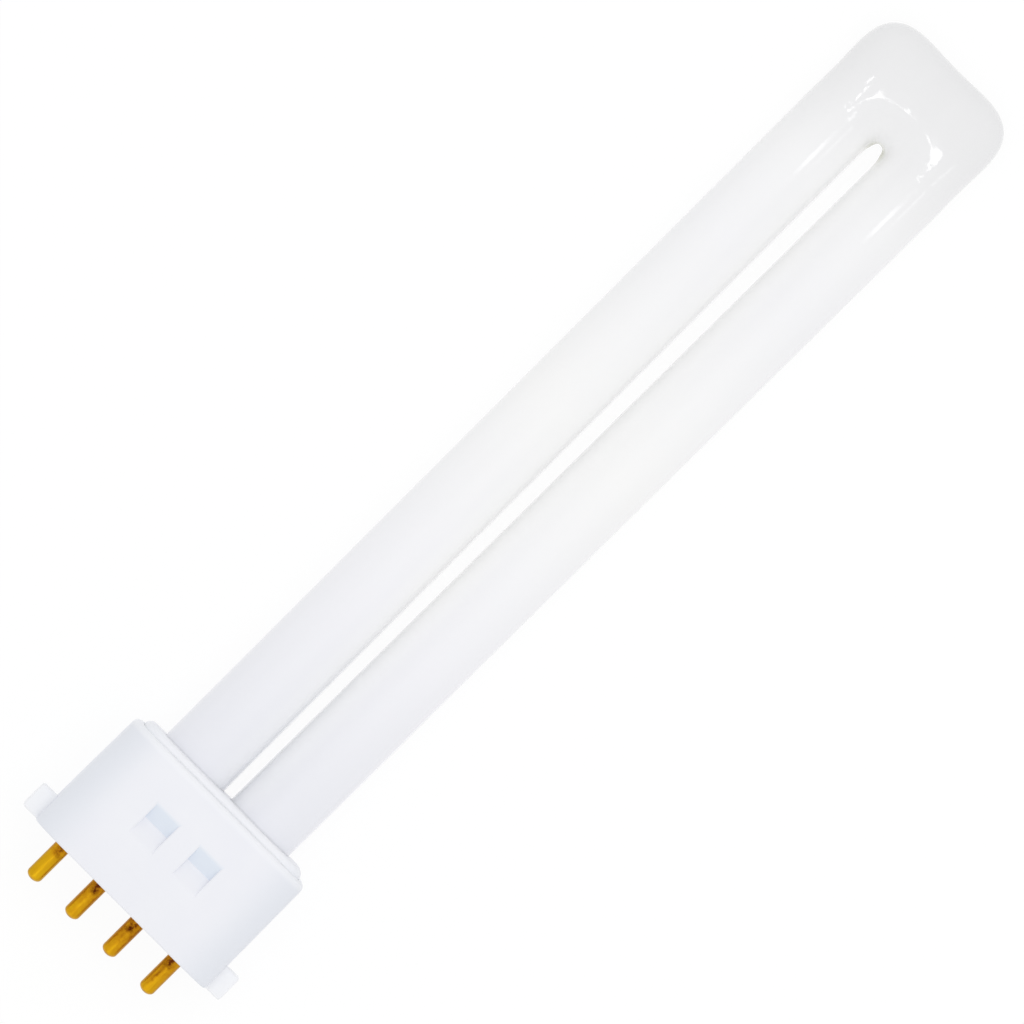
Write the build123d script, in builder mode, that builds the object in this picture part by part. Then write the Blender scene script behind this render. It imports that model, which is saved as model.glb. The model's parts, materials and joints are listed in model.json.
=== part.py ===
from build123d import *
import math
import os

# A single-U compact fluorescent lamp: a bent tube of coated glass, cemented into a moulded
# cap with four pins. Sizes are in millimetres. The lamp is drawn upright, with the cap's
# underside at z = 0, the pins below it, the legs along z and the broad front towards -y.
# The last section lays it on its back, as it comes to rest.

# Glass tube
tube_diameter = 10.67
gap_at_cap = 1.45            # clear gap between the legs where they leave the cap
gap_at_bend = 2.27           # and where the bend begins: the legs spread a little
slot_height = 141.4          # end of the slot between the legs
end_thickness = 14.7         # glass from the end of the slot to the outer end
end_dip = 0.4                # hollow that the mould leaves in the middle of the outer end
dip_focus = 16               # how closely the hollow keeps to the middle
corner_fill = 0.5            # glass that the mould adds at the two outer corners
corner_focus = 10            # how closely it keeps to the corners
end_squareness = 5.0         # exponent of the outer outline: 2 is round, more is squarer
crest_squareness = 2.8       # exponent of the line along the crest of the bend
end_fullness = 1.2           # weight of the outer side's arcs: more is fuller
bend_spans = 24              # spans between the sections that the bend is lofted through
seal_thickness = 2.8         # flat thickness of the pinched ends
seal_length = 2.5
seal_taper = 2.5             # length over which a round leg flattens to its seal
leg_stub = 0.5               # round leg between the cement and the seal

# Contact pins and lead wires
pins_per_leg = 2
pin_pitch = 7.0
pin_diameter = 2.3
pin_length = 6.1
pin_tip_bevel = 0.5
pin_tip_wall = 1.0           # closed end of the hollow pin
shank_diameter = 1.8         # the neck that is pressed through the cap's floor
shank_proud = 0.7            # and stands above it
crimp_length = 1.5
crimp_depth = 0.18
crimp_setback = 1.1          # from the cap's underside to the middle of the crimp
crimp_fan = 18               # degrees by which the outer pins' crimps turn inwards
wire_diameter = 0.6
wire_spacing = 3.6           # between the two wires of one seal
wire_lead_in = 1.1           # straight wire at the seal and above the pin
wire_room = 4.3              # height between the pins and the seals
wire_end_gap = 1.5           # wire stops this far above the bottom of the pin's bore

# Cap
wall = 2.2
floor_thickness = 2.0
shank_room = 2.2             # between the outer pins' necks and the wall
leg_room = 2.0               # between the legs and the wall, front and back
cement_thickness = 3.4
cover_seat_depth = 3.0       # depth of the cover's seat below the rim
cover_proud = 1.05
ledge_width = 0.8
corner_radius = 5.0
draft = 0.6                  # degrees
rim_bevel = 0.6
foot_bevel = 0.25
cover_bevel = 0.8
lug_reach = 2.45
lug_height = 4.0
lug_depth = 5.0
lug_setback = 0.1            # above the cap's underside
lug_corner_radius = 0.5
lug_bevel = 0.25
notch_width = 4.1
notch_spacing = 7.9
notch_depth = 1.2
notch_foot = 7.6             # height of the notch's lower edge above the underside
notch_ramp = 3.0             # from the lower edge up to the deepest line
notch_catch = 2.4            # from the deepest line up to the upper edge

# Fits
pin_fit = 0.05
bore_fit = 0.15
cover_fit = 0.1
leg_fit = 0.15

# Sizes that follow from these
tube_radius = tube_diameter / 2
pin_count = 2 * pins_per_leg
pin_row = (pin_count - 1) * pin_pitch
pin_radius = pin_diameter / 2
shank_radius = shank_diameter / 2
wire_radius = wire_diameter / 2
bore_radius = wire_radius + bore_fit

cavity_width = pin_row + 2 * (shank_radius + shank_room)
cavity_depth = tube_diameter + 2 * leg_room
cavity_corner = corner_radius - wall
seat_width = cavity_width + 2 * ledge_width
seat_depth = cavity_depth + 2 * ledge_width
seat_corner = cavity_corner + ledge_width
cap_width = cavity_width + 2 * wall
cap_depth = cavity_depth + 2 * wall
draft_slope = math.tan(math.radians(draft))

pin_top = floor_thickness + shank_proud
seal_bottom = pin_top + wire_room
seal_top = seal_bottom + seal_length
round_bottom = seal_top + seal_taper
cement_bottom = round_bottom + leg_stub
cover_bottom = cement_bottom + cement_thickness
rim_height = cover_bottom + cover_seat_depth
cover_top = rim_height + cover_proud
notch_deepest = notch_foot + notch_ramp
notch_top = notch_deepest + notch_catch

slot_radius = gap_at_bend / 2
bend_height = slot_height - slot_radius
leg_lean = math.atan2((gap_at_bend - gap_at_cap) / 2, bend_height - cover_top)
crest_reach = slot_radius + tube_radius
outline_reach = slot_radius + tube_diameter
outline_height = slot_radius + end_thickness
quarter_circle = math.cos(math.pi / 4)      # weight that makes an arc a quarter circle


def leg_offset(height):
    """Distance from the lamp's axis to a leg's own axis at a height."""
    return crest_reach / math.cos(leg_lean) - math.tan(leg_lean) * (bend_height - height)


def broad_face(height):
    """Distance from the lamp's axis to the cap's drafted broad face at a height."""
    return cap_depth / 2 - draft_slope * height


def superellipse(turn, half_width, height, squareness):
    """Distance to a superellipse from its centre, in a direction given in radians."""
    across = abs(math.cos(turn) / half_width) ** squareness
    upward = abs(math.sin(turn) / height) ** squareness
    return (across + upward) ** (-1 / squareness)


def bend_section(share):
    """Section of the bend, at a share of its turn from the right leg to the left one.

    Four conic arcs meet at the slot, the crest and the outer side: quarter circles where
    the bend joins the legs, and fuller arcs on the outer side towards its end.
    """
    swing = math.pi * share
    turn = swing + leg_lean * (2 * share - 1)
    crest = superellipse(swing, crest_reach, crest_reach, crest_squareness)
    outer = superellipse(swing, outline_reach, outline_height, end_squareness)
    outer -= end_dip * math.sin(swing) ** dip_focus
    outer += corner_fill * abs(math.sin(2 * swing)) ** corner_focus
    fullness = quarter_circle + (end_fullness - quarter_circle) * math.sin(swing) ** 2
    across = Plane(
        (0, 0, bend_height),
        x_dir=(math.cos(turn), 0, math.sin(turn)),
        z_dir=(-math.sin(turn), 0, math.cos(turn)),
    )
    outside = (outer, 0)
    front = (crest, tube_radius)
    inside = (slot_radius, 0)
    back = (crest, -tube_radius)
    arcs = [
        (outside, (outer, tube_radius), front, fullness),
        (front, (slot_radius, tube_radius), inside, quarter_circle),
        (inside, (slot_radius, -tube_radius), back, quarter_circle),
        (back, (outer, -tube_radius), outside, fullness),
    ]
    edges = []
    for begin, corner, finish, weight in arcs:
        points = [across.from_local_coords(point) for point in (begin, corner, finish)]
        edges.append(Edge.make_bezier(*points, weights=[1, weight, 1]))
    return Face(Wire(edges))


# The U of glass. The slot ends in a half circle, the crest of the bend runs square from
# leg to leg, and the outer side was blown into a squared mould. The legs end in flat
# pinched seals.
bend = [bend_section(span / bend_spans) for span in range(bend_spans + 1)]
with BuildPart() as glass_tube:
    loft(bend)
    for side in (-1, 1):
        leg_foot = (side * leg_offset(pin_top), 0, pin_top)
        leg_head = (
            side * crest_reach * math.cos(leg_lean), 0, bend_height - crest_reach * math.sin(leg_lean)
        )
        leg_axis = (side * math.sin(leg_lean), 0, math.cos(leg_lean))
        with BuildSketch(Plane(leg_head, z_dir=leg_axis)):
            Circle(tube_radius)
        extrude(amount=-math.dist(leg_foot, leg_head))
    with BuildSketch(Plane.YZ):
        with BuildLine():
            Polyline(
                (0, seal_bottom),
                (seal_thickness / 2, seal_bottom),
                (seal_thickness / 2, seal_top),
                (tube_radius, round_bottom),
                (tube_diameter, round_bottom),
                (tube_diameter, 0),
                (0, 0),
                close=True,
            )
        make_face()
        mirror(about=Plane.YZ)
    extrude(amount=cap_width / 2, both=True, mode=Mode.SUBTRACT)

# The cap's body: a drafted cup with a stepped mouth, a row of pin holes in its floor,
# a lug on each narrow side and two V notches on each broad side. The lugs are the ends of
# one bar, which the cavity cuts through.
with BuildPart() as lug_bar:
    with BuildSketch(Plane.XY.offset(lug_setback)):
        RectangleRounded(cap_width + 2 * lug_reach, lug_depth, lug_corner_radius)
    extrude(amount=lug_height)
    chamfer(lug_bar.edges().filter_by(Plane.XY), lug_bevel)

with BuildPart() as base_housing:
    with BuildSketch():
        RectangleRounded(cap_width, cap_depth, corner_radius)
    extrude(amount=rim_height, taper=draft)
    chamfer(base_housing.faces().sort_by(Axis.Z)[-1].edges(), rim_bevel)
    chamfer(base_housing.faces().sort_by(Axis.Z)[0].edges(), foot_bevel)
    add(lug_bar.part)
    with BuildSketch(Plane.XY.offset(floor_thickness)):
        RectangleRounded(cavity_width, cavity_depth, cavity_corner)
    extrude(amount=rim_height, mode=Mode.SUBTRACT)
    with BuildSketch(Plane.XY.offset(cover_bottom)):
        RectangleRounded(seat_width, seat_depth, seat_corner)
    extrude(amount=rim_height, mode=Mode.SUBTRACT)
    with BuildSketch():
        with GridLocations(pin_pitch, 0, pin_count, 1):
            Circle(shank_radius + pin_fit)
    extrude(amount=floor_thickness, mode=Mode.SUBTRACT)
    for side in (-1, 1):
        with BuildSketch(Plane.YZ.offset(side * notch_spacing / 2)):
            with BuildLine():
                Polyline(
                    (cap_depth / 2, notch_foot),
                    (broad_face(notch_foot), notch_foot),
                    (broad_face(notch_deepest) - notch_depth, notch_deepest),
                    (broad_face(notch_top), notch_top),
                    (cap_depth / 2, notch_top),
                    close=True,
                )
            make_face()
            mirror(about=Plane.YZ)
        extrude(amount=notch_width / 2, both=True, mode=Mode.SUBTRACT)

# The plate in the mouth of the cap, with a hole for each leg.
with BuildPart() as base_cover:
    with BuildSketch(Plane.XY.offset(cover_bottom)):
        RectangleRounded(
            seat_width - 2 * cover_fit, seat_depth - 2 * cover_fit, seat_corner - cover_fit
        )
    extrude(amount=cover_top - cover_bottom)
    chamfer(base_cover.faces().sort_by(Axis.Z)[-1].edges(), cover_bevel)
    with BuildSketch(Plane.XY.offset(cover_bottom)):
        with GridLocations(2 * leg_offset(cover_top), 0, 2, 1):
            Circle(tube_radius + leg_fit)
    extrude(amount=cover_top - cover_bottom, mode=Mode.SUBTRACT)

# The cement under the cover, cast round the legs.
with BuildPart() as basing_cement:
    with BuildSketch(Plane.XY.offset(cement_bottom)):
        RectangleRounded(cavity_width, cavity_depth, cavity_corner)
    extrude(amount=cement_thickness)
    add(glass_tube.part, mode=Mode.SUBTRACT)

pieces = {
    "glass_tube": glass_tube,
    "base_housing": base_housing,
    "base_cover": base_cover,
    "basing_cement": basing_cement,
}

# The row of hollow pins, each with a neck pressed through the cap's floor and a crimp that
# grips its wire, and the wires from the pinched ends of the glass into the pins.
crimp_roller = (crimp_length**2 / 4 + crimp_depth**2) / (2 * crimp_depth)
for number in range(pin_count):
    pin_x = (number - (pin_count - 1) / 2) * pin_pitch
    with BuildPart() as contact_pin:
        with BuildSketch(Plane((pin_x, 0, 0), x_dir=(1, 0, 0), z_dir=(0, -1, 0))):
            with BuildLine():
                Polyline(
                    (0, -pin_length),
                    (pin_radius - pin_tip_bevel, -pin_length),
                    (pin_radius, pin_tip_bevel - pin_length),
                    (pin_radius, 0),
                    (shank_radius, 0),
                    (shank_radius, pin_top),
                    (bore_radius, pin_top),
                    (bore_radius, pin_tip_wall - pin_length),
                    (0, pin_tip_wall - pin_length),
                    close=True,
                )
            make_face()
        revolve(axis=Axis((pin_x, 0, 0), (0, 0, 1)))
        facing = math.radians(-2 * crimp_fan * pin_x / pin_row)
        jaws = Plane(
            (pin_x, 0, 0),
            x_dir=(math.sin(facing), -math.cos(facing), 0),
            z_dir=(-math.cos(facing), -math.sin(facing), 0),
        )
        with BuildSketch(jaws):
            with Locations((pin_radius - crimp_depth + crimp_roller, -crimp_setback)):
                Circle(crimp_roller)
            mirror(about=Plane.YZ)
        extrude(amount=pin_radius, both=True, mode=Mode.SUBTRACT)
    pieces[f"contact_pin_{number + 1}"] = contact_pin

    leg_side = -1 if number < pins_per_leg else 1
    place_in_seal = number % pins_per_leg - (pins_per_leg - 1) / 2
    seal_x = leg_side * leg_offset(seal_bottom) + place_in_seal * wire_spacing
    with BuildPart() as lead_wire:
        with BuildLine(Plane.XZ) as route:
            Polyline(
                (seal_x, seal_bottom),
                (seal_x, seal_bottom - wire_lead_in),
                (pin_x, pin_top + wire_lead_in),
                (pin_x, pin_tip_wall - pin_length + wire_end_gap),
            )
        with BuildSketch(Plane(route.line @ 0, z_dir=route.line % 0)):
            Circle(wire_radius)
        sweep(transition=Transition.RIGHT)
    pieces[f"lead_wire_{number + 1}"] = lead_wire

# The lamp at rest: on its back, on the rim of the cap and the crest of the bend, its axis
# along x and the origin under the middle of its box.
rim_shoulder = rim_height - rim_bevel
rest_tilt = math.atan2(
    broad_face(rim_shoulder) - tube_radius, bend_height + crest_reach - rim_shoulder
)
on_its_back = Plane(
    (0, 0, 0), x_dir=(0, -1, 0), z_dir=(math.cos(rest_tilt), 0, -math.sin(rest_tilt))
).location
box = Compound([on_its_back * piece.part for piece in pieces.values()]).bounding_box()
at_rest = Pos(-box.center().X, -box.center().Y, -box.min.Z) * on_its_back

os.makedirs("parts", exist_ok=True)
for name, piece in pieces.items():
    piece.part.label = name
    piece.part.move(at_rest)
    export_step(piece.part, f"parts/{name}.step")
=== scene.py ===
# %% [markdown]
# # A compact fluorescent bulb
# The lamp is a U of white-coated glass in a small moulded cap with four brass pins. Its solids come
# from the imported model, which is the fixed frame: the looks are built around it, in metres, in the
# same place.

# %% Load the solids
import json
import math

import bpy
from mathutils import Matrix, Vector


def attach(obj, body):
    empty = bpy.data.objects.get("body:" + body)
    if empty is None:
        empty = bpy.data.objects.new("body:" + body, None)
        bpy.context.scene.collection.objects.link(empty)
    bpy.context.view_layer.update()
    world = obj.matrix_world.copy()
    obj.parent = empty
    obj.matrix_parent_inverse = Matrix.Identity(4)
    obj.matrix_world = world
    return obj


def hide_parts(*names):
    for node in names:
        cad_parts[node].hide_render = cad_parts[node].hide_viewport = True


MM = 0.001


def in_mm(lengths):
    """Lengths in metres, as rounded millimetres for a print."""
    return [round(length / MM, 2) for length in lengths]


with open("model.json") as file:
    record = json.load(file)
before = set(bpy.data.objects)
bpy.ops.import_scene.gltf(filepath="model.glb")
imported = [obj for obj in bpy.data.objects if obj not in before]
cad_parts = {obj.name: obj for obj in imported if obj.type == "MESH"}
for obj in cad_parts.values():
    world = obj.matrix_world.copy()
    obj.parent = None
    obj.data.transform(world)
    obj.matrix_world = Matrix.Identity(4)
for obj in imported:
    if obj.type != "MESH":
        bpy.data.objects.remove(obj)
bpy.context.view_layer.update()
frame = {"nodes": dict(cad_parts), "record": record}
print("solids:", sorted(frame["nodes"]))

# %% [markdown]
# ## The lamp's own axes
# The lamp lies on its back, a little tilted, on the rim of its cap and the crest of its bend. It is
# easier to model upright: x across the legs, y from the front to the back, z up from the underside
# of the cap. The cap's seat in the record gives the place and the tilt, so one matrix lays an
# upright piece down where the solids are.

# %% From upright to lying
seat = next(mount for mount in frame["record"]["mounts"] if mount["name"] == "cap_seat")
along = -Vector(seat["axis"]).normalized()
across = Vector((0, -1, 0))
front = across.cross(along)


def axes_at(place, x, y, z):
    """The matrix that moves an object to a place and turns it to three axes."""
    return Matrix.Translation(place) @ Matrix((x, y, z)).transposed().to_4x4()


laid_down = axes_at(Vector(seat["pos_m"]), across, -front, along)


def lamp_point(x, y, z):
    """A place on the upright lamp, in millimetres, as a point of the lying lamp in metres."""
    return laid_down @ (Vector((x, y, z)) * MM)


print("axis", [round(part, 4) for part in along], "front", [round(part, 4) for part in front])

# %% [markdown]
# ## The camera
# The photograph looks square at the broad face from far away, with the lamp's axis rising at 45
# degrees. A long lens from two metres gives that flat view, two degrees off the lamp's own front.
# The camera is turned by writing its three axes as a matrix, because an aim constraint would not
# give the roll.

# %% Place the camera
VIEW_DISTANCE = 2.1
VIEW_YAW = math.radians(2)
FOCAL_LENGTH, SENSOR_WIDTH = 560.2, 36
CLIP_END = 20
# What the picture's middle shows, in millimetres on the upright lamp.
VIEW_MIDDLE = (-0.03, 0, 72.92)
# The picture's rightward direction, as shares of the lamp's own axes.
RIGHT_ALONG, RIGHT_ACROSS = 0.70879, 0.70541
bpy.ops.object.select_all(action="DESELECT")
bpy.ops.object.camera_add()
camera = bpy.context.object
camera.name = "camera"
towards = front * math.cos(VIEW_YAW) - across * math.sin(VIEW_YAW)
rightward = (RIGHT_ALONG * along + RIGHT_ACROSS * across).normalized()
rightward = (rightward - towards * rightward.dot(towards)).normalized()
upward = towards.cross(rightward)
target = lamp_point(*VIEW_MIDDLE)
camera.matrix_world = axes_at(target + towards * VIEW_DISTANCE, rightward, upward, towards)
camera.data.lens = FOCAL_LENGTH
camera.data.sensor_width = SENSOR_WIDTH
camera.data.clip_end = CLIP_END
bpy.context.scene.camera = camera
print("camera at", [round(part, 3) for part in camera.location])

# %% [markdown]
# ## Colours and nodes
# Colours are written as they look on screen, as hex codes, and one function turns them to the
# linear values that a shader adds up. A second function adds a node to a material, sets its options
# and fills or links its sockets, so that each material below reads as a list.

# %% Helpers for materials
def colour(code):
    """Linear colour of an sRGB hex code."""
    shown = [int(code[place:place + 2], 16) / 255 for place in (1, 3, 5)]
    linear = [c / 12.92 if c <= 0.04045 else ((c + 0.055) / 1.055) ** 2.4 for c in shown]
    return (*linear, 1.0)


def add(tree, kind, sockets=None, stops=(), **options):
    """Add a node of one kind, with its options and a ramp's stops, and fill or link its sockets."""
    node = tree.nodes.new("ShaderNode" + kind)
    for option, value in options.items():
        setattr(node, option, value)
    for number, (position, code) in enumerate(stops):
        elements = node.color_ramp.elements
        stop = elements[number] if number < len(elements) else elements.new(position)
        stop.position, stop.color = position, colour(code)
    for socket, value in (sockets or {}).items():
        if isinstance(value, bpy.types.NodeSocket):
            tree.links.new(value, node.inputs[socket])
        else:
            node.inputs[socket].default_value = value
    return node


def new_material(name):
    """An empty material and its node tree."""
    material = bpy.data.materials.new(name)
    material.use_nodes = True
    material.node_tree.nodes.clear()
    return material, material.node_tree


print("white", colour("#FFFFFF"), "mid grey", [round(c, 3) for c in colour("#808080")])

# %% [markdown]
# ## The studio
# The lamp is white on a white ground, so its form shows only in faint greys. The light is that of a
# white tent: an even sky and a ground that throws nearly as much back. To the camera and to
# reflections, ground and sky are pure white. The ground still keeps a faint shadow, because a part
# of its white is light that falls on it.

# %% Ground
GROUND_SIZE, GROUND_DROP = 6.0, 0.0002
GROUND_GLOW, GROUND_LIT = 0.85, "#6E6E6E"
GROUND_FILL, GROUND_BOUNCE = 0.85, "#606060"
PURE_WHITE = "#FFFFFF"


def seen_directly(tree):
    """1 for rays from the camera, a mirror or glass, and 0 for those that only bring light."""
    path = add(tree, "LightPath").outputs
    rays = path["Is Camera Ray"]
    for kind in ("Is Glossy Ray", "Is Transmission Ray"):
        rays = add(tree, "Math", {0: rays, 1: path[kind]}, operation="MAXIMUM").outputs["Value"]
    return rays


def glowing_paper(tree, strength, code):
    """Paper that glows white by itself and takes light as well."""
    glow = add(tree, "Emission", {"Color": colour(PURE_WHITE), "Strength": strength})
    shade = add(tree, "BsdfDiffuse", {"Color": colour(code)})
    return add(tree, "AddShader", {0: glow.outputs[0], 1: shade.outputs[0]}).outputs[0]


bpy.ops.object.select_all(action="DESELECT")
bpy.ops.mesh.primitive_plane_add(size=GROUND_SIZE, location=(0, 0, -GROUND_DROP))
ground = bpy.context.object
ground.name = "ground"
paper, tree = new_material("white_paper_ground")
white = glowing_paper(tree, GROUND_GLOW, GROUND_LIT)
lit = glowing_paper(tree, GROUND_FILL, GROUND_BOUNCE)
choice = add(tree, "MixShader", {0: seen_directly(tree), 1: lit, 2: white})
add(tree, "OutputMaterial", {"Surface": choice.outputs[0]})
ground.data.materials.append(paper)
print("ground of", GROUND_SIZE, "m in", paper.name)

# %% Sky
SKY_LIGHT = "#EAEAEA"
world = bpy.data.worlds.new("studio_sky")
bpy.context.scene.world = world
world.use_nodes = True
tree = world.node_tree
tree.nodes.clear()
even = add(tree, "Background", {"Color": colour(SKY_LIGHT), "Strength": 1.0})
plain = add(tree, "Background", {"Color": colour(PURE_WHITE), "Strength": 1.0})
choice = add(tree, "MixShader", {0: seen_directly(tree), 1: even.outputs[0], 2: plain.outputs[0]})
add(tree, "OutputWorld", {"Surface": choice.outputs[0]})
bpy.context.scene.view_settings.view_transform = "Standard"
print("sky of", round(colour(SKY_LIGHT)[0], 2), "times white")

# %% [markdown]
# ## Softboxes
# One wide softbox over the lamp models it a little. A real one would show as a broad band in the
# glass, and the photograph has none, so reflections skip it. What the glass does show is small: a
# short bright line on each leg near the bend, and a few glints along the arch where the legs run
# into the squared end. A short strip to the right gives the lines. The glints come from six small
# lamps: each hangs where the glass at its glint mirrors the camera's view.

# %% Softboxes
# The wide box hangs over the lamp's middle, the strip and the small lamps over its bend. Places on
# the upright lamp are in millimetres, and the boxes' distances and sizes in metres.
LAMP_MIDDLE = (0, 0, 73)
OVERHEAD_HEIGHT, OVERHEAD_SIDE, OVERHEAD_SIZE = 0.6, 0.02, 0.4
OVERHEAD_BRIGHTNESS = 1.2
STRIP_AIM, GLINT_AIM = (0, -5, 143.5), (0, -5, 143.8)
STRIP_DISTANCE = 0.3
STRIP_SIDE = math.radians(20)
STRIP_SIZE = (0.006, 0.06)
STRIP_BRIGHTNESS = 3.0
# For each small lamp: its place across and along and its size along and across, in millimetres,
# and its brightness.
GLINTS = (
    (-93, 35, 10, 16, 5.0),
    (-60, 22, 9, 16, 5.0),
    (-9, 20, 14, 13, 5.0),
    (7, 27, 36, 7, 6.0),
    (47, 21.5, 9.5, 46, 5.0),
    (285, 18, 30, 40, 1.5),
)


def softbox(name, place, aim, size, brightness):
    """A rectangular area light at a place, aimed at a point, as bright as so many times white."""
    bpy.ops.object.select_all(action="DESELECT")
    bpy.ops.object.light_add(type="AREA")
    box = bpy.context.object
    box.name = name
    box.data.shape = "RECTANGLE"
    box.data.size, box.data.size_y = size
    box.data.energy = brightness * math.pi * size[0] * size[1]
    back = (place - aim).normalized()
    side = (along - back * along.dot(back)).normalized()
    box.matrix_world = axes_at(place, side, back.cross(side), back)
    print(name, "of", round(box.data.energy, 4), "W")
    return box


middle = lamp_point(*LAMP_MIDDLE)
place = middle + OVERHEAD_HEIGHT * front + OVERHEAD_SIDE * across
size = (OVERHEAD_SIZE, OVERHEAD_SIZE)
overhead = softbox("overhead_softbox", place, middle, size, OVERHEAD_BRIGHTNESS)
overhead.visible_glossy = False
shoulder = lamp_point(*STRIP_AIM)
lean = math.cos(STRIP_SIDE) * front + math.sin(STRIP_SIDE) * across
softbox("strip_softbox", shoulder + STRIP_DISTANCE * lean, shoulder, STRIP_SIZE, STRIP_BRIGHTNESS)
bend_top = lamp_point(*GLINT_AIM)
for number, (side, rise, length, width, brightness) in enumerate(GLINTS):
    place = bend_top + STRIP_DISTANCE * front + (side * across + rise * along) * MM
    softbox(f"glint_lamp_{number + 1}", place, bend_top, (length * MM, width * MM), brightness)

# %% [markdown]
# ## The glass tube
# The real tube is drawn round, bent to a U and then blown in a mould that squares its end. A mesh
# of the solid is made of uneven triangles, and gloss shows them. So a clean U of quads is made by
# hand: a circle is spun through half a turn and extruded down both legs, its bend is shrinkwrapped
# on to the solid for the moulded form, and a subdivision surface makes it smooth.

# %% A round bend of quads
TUBE_RADIUS = 5.335
SLOT_RADIUS = 1.135
BEND_HEIGHT = 140.265
RING_POINTS = 32
BEND_STEPS = 48
# A subdivided ring of quads draws in by this share, so the rings are made larger by as much.
DRAWN_IN = 2 / 3 + math.cos(2 * math.pi / RING_POINTS) / 3

bpy.ops.object.select_all(action="DESELECT")
bpy.ops.mesh.primitive_circle_add(vertices=RING_POINTS, radius=TUBE_RADIUS * MM / DRAWN_IN)
tube = bpy.context.object
tube.name = "coated_tube"
tube.location = Vector((SLOT_RADIUS + TUBE_RADIUS, 0, BEND_HEIGHT)) * MM
bpy.ops.object.transform_apply(location=True)
bpy.ops.object.mode_set(mode="EDIT")
bpy.ops.mesh.select_all(action="SELECT")
pivot = (0, 0, BEND_HEIGHT * MM)
bpy.ops.mesh.spin(steps=BEND_STEPS, angle=math.pi, center=pivot, axis=(0, 1, 0))
bpy.ops.object.mode_set(mode="OBJECT")
bend_points = len(tube.data.vertices)
print("bend:", bend_points, "points, top", *in_mm([max(v.co.z for v in tube.data.vertices)]))

# %% [markdown]
# ## Picking and pulling
# By hand, points, edges and faces are clicked and then pulled. Here they are picked by where they
# are: a test in millimetres says which ones. One small function picks and one extrudes, and the
# pieces below are modelled with them.

# %% Helpers for modelling
NEAR = 0.01


def near(value, wanted):
    """True if two lengths in millimetres are the same to a hundredth."""
    return abs(value - wanted) < NEAR


def pick(piece, kind, test):
    """In edit mode, select the points, edges or faces whose corners pass a test in millimetres."""
    bpy.context.view_layer.objects.active = piece
    bpy.ops.object.mode_set(mode="EDIT")
    bpy.ops.mesh.select_mode(type=kind)
    bpy.ops.mesh.select_all(action="DESELECT")
    bpy.ops.object.mode_set(mode="OBJECT")
    mesh = piece.data
    parts = {"VERT": mesh.vertices, "EDGE": mesh.edges, "FACE": mesh.polygons}[kind]
    for part in parts:
        corners = [part.index] if kind == "VERT" else part.vertices
        part.select = bool(test([mesh.vertices[corner].co / MM for corner in corners]))
    bpy.ops.object.mode_set(mode="EDIT")


def extrude(x, y, z):
    """Extrude what is picked by a step in millimetres."""
    bpy.ops.mesh.extrude_region_move(TRANSFORM_OT_translate={"value": (x * MM, y * MM, z * MM)})


print("lengths are the same within", NEAR, "mm")

# %% Legs and pinched seals
LEG_LEAN = math.radians(0.195)
LEG_STEPS = 16
# From the leg's lower end down: the height of each ring, and how much it is pressed flat.
SEAL_STEPS = ((12.0, 1.0), (9.5, 0.27), (7.0, 1.0))
drops = [((BEND_HEIGHT - SEAL_STEPS[0][0]) / LEG_STEPS, 1.0)] * LEG_STEPS
drops += [(upper[0] - lower[0], lower[1]) for upper, lower in zip(SEAL_STEPS, SEAL_STEPS[1:])]
for side in (-1, 1):
    pick(tube, "VERT", lambda c: side * c[0].x > 0 and near(c[0].z, BEND_HEIGHT))
    for drop, squeeze in drops:
        extrude(-side * drop * math.tan(LEG_LEAN), 0, -drop)
        if squeeze != 1.0:
            bpy.ops.transform.resize(value=(1, squeeze, 1))
    bpy.ops.mesh.edge_face_add()
bpy.ops.mesh.select_all(action="SELECT")
bpy.ops.mesh.normals_make_consistent(inside=False)
bpy.ops.object.mode_set(mode="OBJECT")
print("U:", len(tube.data.vertices), "points,", len(tube.data.polygons), "faces")

# %% The moulded bend
MOULD_REACH = 6.0
SMOOTH_LEVELS = 2
tube.matrix_world = laid_down
bpy.ops.object.transform_apply(location=True, rotation=True, scale=True)
bend = tube.vertex_groups.new(name="bend")
bend.add(list(range(bend_points)), 1.0, "REPLACE")
bpy.ops.object.modifier_add(type="SHRINKWRAP")
mould = tube.modifiers[-1]
mould.target = frame["nodes"]["glass_tube"]
mould.vertex_group = "bend"
mould.wrap_method = "PROJECT"
mould.use_negative_direction = True
mould.use_positive_direction = True
mould.project_limit = MOULD_REACH * MM
mould.offset = TUBE_RADIUS * (1 / DRAWN_IN - 1) * MM
bpy.ops.object.modifier_apply(modifier=mould.name)
bpy.ops.object.modifier_add(type="SUBSURF")
tube.modifiers[-1].levels = tube.modifiers[-1].render_levels = SMOOTH_LEVELS
bpy.ops.object.modifier_apply(modifier=tube.modifiers[-1].name)
bpy.ops.object.shade_smooth()
print("moulded tube:", len(tube.data.polygons), "faces")

# %% [markdown]
# ## The end of the slot
# The slot between the legs does not end in a plain half circle: its sides draw together first. Both
# flanks are pushed in with proportional editing, which carries the points around them along.

# %% Draw the slot together
FLANK_PLACE, FLANK_HEIGHT = 1.05, 140.6
FLANK_PUSH, FLANK_REACH = 0.28, 1.4


def push_softly(shift, reach):
    """Move what is picked, in millimetres, and carry the surface within reach along."""
    bpy.ops.transform.translate(
        value=Vector(shift) * MM,
        use_proportional_edit=True,
        use_proportional_connected=True,
        proportional_edit_falloff="SMOOTH",
        proportional_size=reach * MM,
    )


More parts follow.
